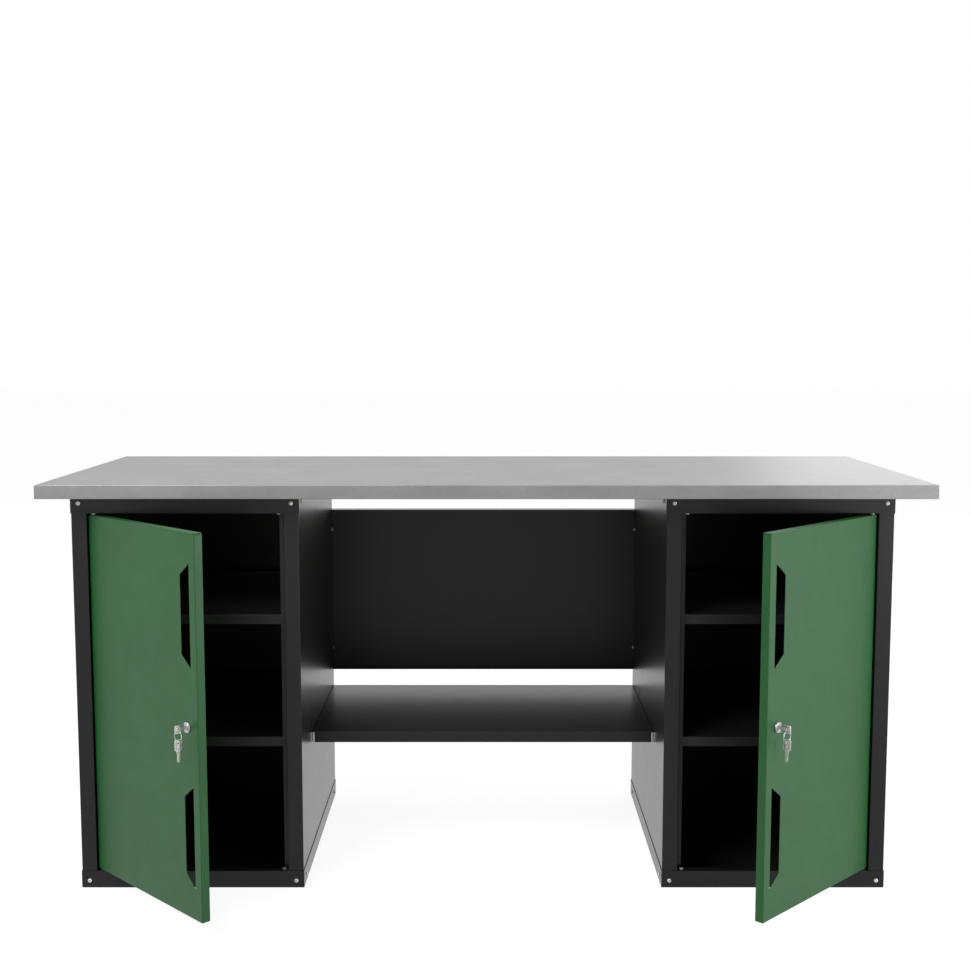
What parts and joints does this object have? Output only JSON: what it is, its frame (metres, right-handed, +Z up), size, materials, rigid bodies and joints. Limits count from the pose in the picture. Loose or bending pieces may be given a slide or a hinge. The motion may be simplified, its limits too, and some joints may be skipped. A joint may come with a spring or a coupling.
{
  "type": "double pedestal workbench",
  "caption": "Steel-clad workbench on twin folded-sheet cupboards with ajar, cam-locked doors, a knee-space back panel and a low shelf.",
  "frame": {"origin": "on the floor, under the middle of the bench's whole extent with its doors ajar", "axes": "+X to the right along the worktop as seen from the front, +Y from the front to the rear, +Z up"},
  "size_m": [1.8, 0.9118, 0.85],
  "materials": {
    "galvanised_steel": "galvanised sheet, satin with a soft cloudy spangle",
    "chipboard": "raw chipboard, matt",
    "black_powder_coat": "fine-textured black powder coat, satin",
    "green_powder_coat": "fine-textured mid green powder coat, satin",
    "zinc_plated_steel": "bright zinc plate",
    "lock_chrome": "polished chrome",
    "key_nickel": "nickel plate, lightly brushed"
  },
  "bodies": {
    "bench": {"worktop_board": "chipboard", "worktop_cover": "galvanised_steel", "knee_back_panel": "black_powder_coat", "middle_shelf": "black_powder_coat", "left_base_tray": "black_powder_coat", "left_top_tray": "black_powder_coat", "left_outer_side_panel": "black_powder_coat", "left_inner_side_panel": "black_powder_coat", "left_rear_panel": "black_powder_coat", "left_upper_shelf": "black_powder_coat", "left_lower_shelf": "black_powder_coat", "left_upper_pivot_pin": "zinc_plated_steel", "left_lower_pivot_pin": "zinc_plated_steel", "left_upper_blanking_plug": "zinc_plated_steel", "left_lower_blanking_plug": "zinc_plated_steel", "left_lower_left_screw": "zinc_plated_steel", "left_lower_right_screw": "zinc_plated_steel", "left_upper_left_screw": "zinc_plated_steel", "left_upper_right_screw": "zinc_plated_steel", "right_base_tray": "black_powder_coat", "right_top_tray": "black_powder_coat", "right_outer_side_panel": "black_powder_coat", "right_inner_side_panel": "black_powder_coat", "right_rear_panel": "black_powder_coat", "right_upper_shelf": "black_powder_coat", "right_lower_shelf": "black_powder_coat", "right_upper_pivot_pin": "zinc_plated_steel", "right_lower_pivot_pin": "zinc_plated_steel", "right_upper_blanking_plug": "zinc_plated_steel", "right_lower_blanking_plug": "zinc_plated_steel", "right_lower_left_screw": "zinc_plated_steel", "right_lower_right_screw": "zinc_plated_steel", "right_upper_left_screw": "zinc_plated_steel", "right_upper_right_screw": "zinc_plated_steel"},
    "left_door": {"left_door": "green_powder_coat", "left_lock_housing": "lock_chrome", "left_lock_nut": "zinc_plated_steel"},
    "left_lock": {"left_lock_plug": "lock_chrome", "left_lock_cam": "zinc_plated_steel", "left_cam_screw": "zinc_plated_steel"},
    "left_key": {"left_key": "key_nickel"},
    "left_key_ring": {"left_key_ring": "key_nickel"},
    "left_spare_key": {"left_spare_key": "key_nickel"},
    "right_door": {"right_door": "green_powder_coat", "right_lock_housing": "lock_chrome", "right_lock_nut": "zinc_plated_steel"},
    "right_lock": {"right_lock_plug": "lock_chrome", "right_lock_cam": "zinc_plated_steel", "right_cam_screw": "zinc_plated_steel"},
    "right_key": {"right_key": "key_nickel"},
    "right_key_ring": {"right_key_ring": "key_nickel"},
    "right_spare_key": {"right_spare_key": "key_nickel"}
  },
  "joints": [
    {"name": "left_door_hinge", "type": "hinge", "parent": "bench", "child": "left_door", "pos_m": [-0.80155, -0.17746, 0.0405], "axis": [0, 0, -1], "range_deg": [-45.2, 54.8]},
    {"name": "left_lock_turn", "type": "hinge", "parent": "left_door", "child": "left_lock", "pos_m": [-0.56159, -0.43137, 0.4136], "axis": [-0.7096, -0.7046, 0], "range_deg": [0, 90]},
    {"name": "left_key_slide", "type": "slide", "parent": "left_lock", "child": "left_key", "axis": [-0.7096, -0.7046, 0], "range_m": [0, 0.0215]},
    {"name": "left_ring_swing", "type": "hinge", "parent": "left_key", "child": "left_key_ring", "pos_m": [-0.57664, -0.44631, 0.4127], "axis": [-0.7046, 0.7096, 0], "range_deg": [-5, 45]},
    {"name": "left_spare_key_swing", "type": "hinge", "parent": "left_key_ring", "child": "left_spare_key", "pos_m": [-0.57664, -0.44631, 0.3883], "axis": [-0.7046, 0.7096, 0], "range_deg": [-10, 45]},
    {"name": "right_door_hinge", "type": "hinge", "parent": "bench", "child": "right_door", "pos_m": [0.78555, -0.17746, 0.0405], "axis": [0, 0, 1], "range_deg": [-45.2, 54.8]},
    {"name": "right_lock_turn", "type": "hinge", "parent": "right_door", "child": "right_lock", "pos_m": [0.54559, -0.43137, 0.4136], "axis": [-0.7096, 0.7046, 0], "range_deg": [0, 90]},
    {"name": "right_key_slide", "type": "slide", "parent": "right_lock", "child": "right_key", "axis": [0.7096, -0.7046, 0], "range_m": [0, 0.0215]},
    {"name": "right_ring_swing", "type": "hinge", "parent": "right_key", "child": "right_key_ring", "pos_m": [0.56064, -0.44631, 0.4127], "axis": [-0.7046, -0.7096, 0], "range_deg": [-5, 45]},
    {"name": "right_spare_key_swing", "type": "hinge", "parent": "right_key_ring", "child": "right_spare_key", "pos_m": [0.56064, -0.44631, 0.3883], "axis": [-0.7046, -0.7096, 0], "range_deg": [-10, 45]}
  ]
}
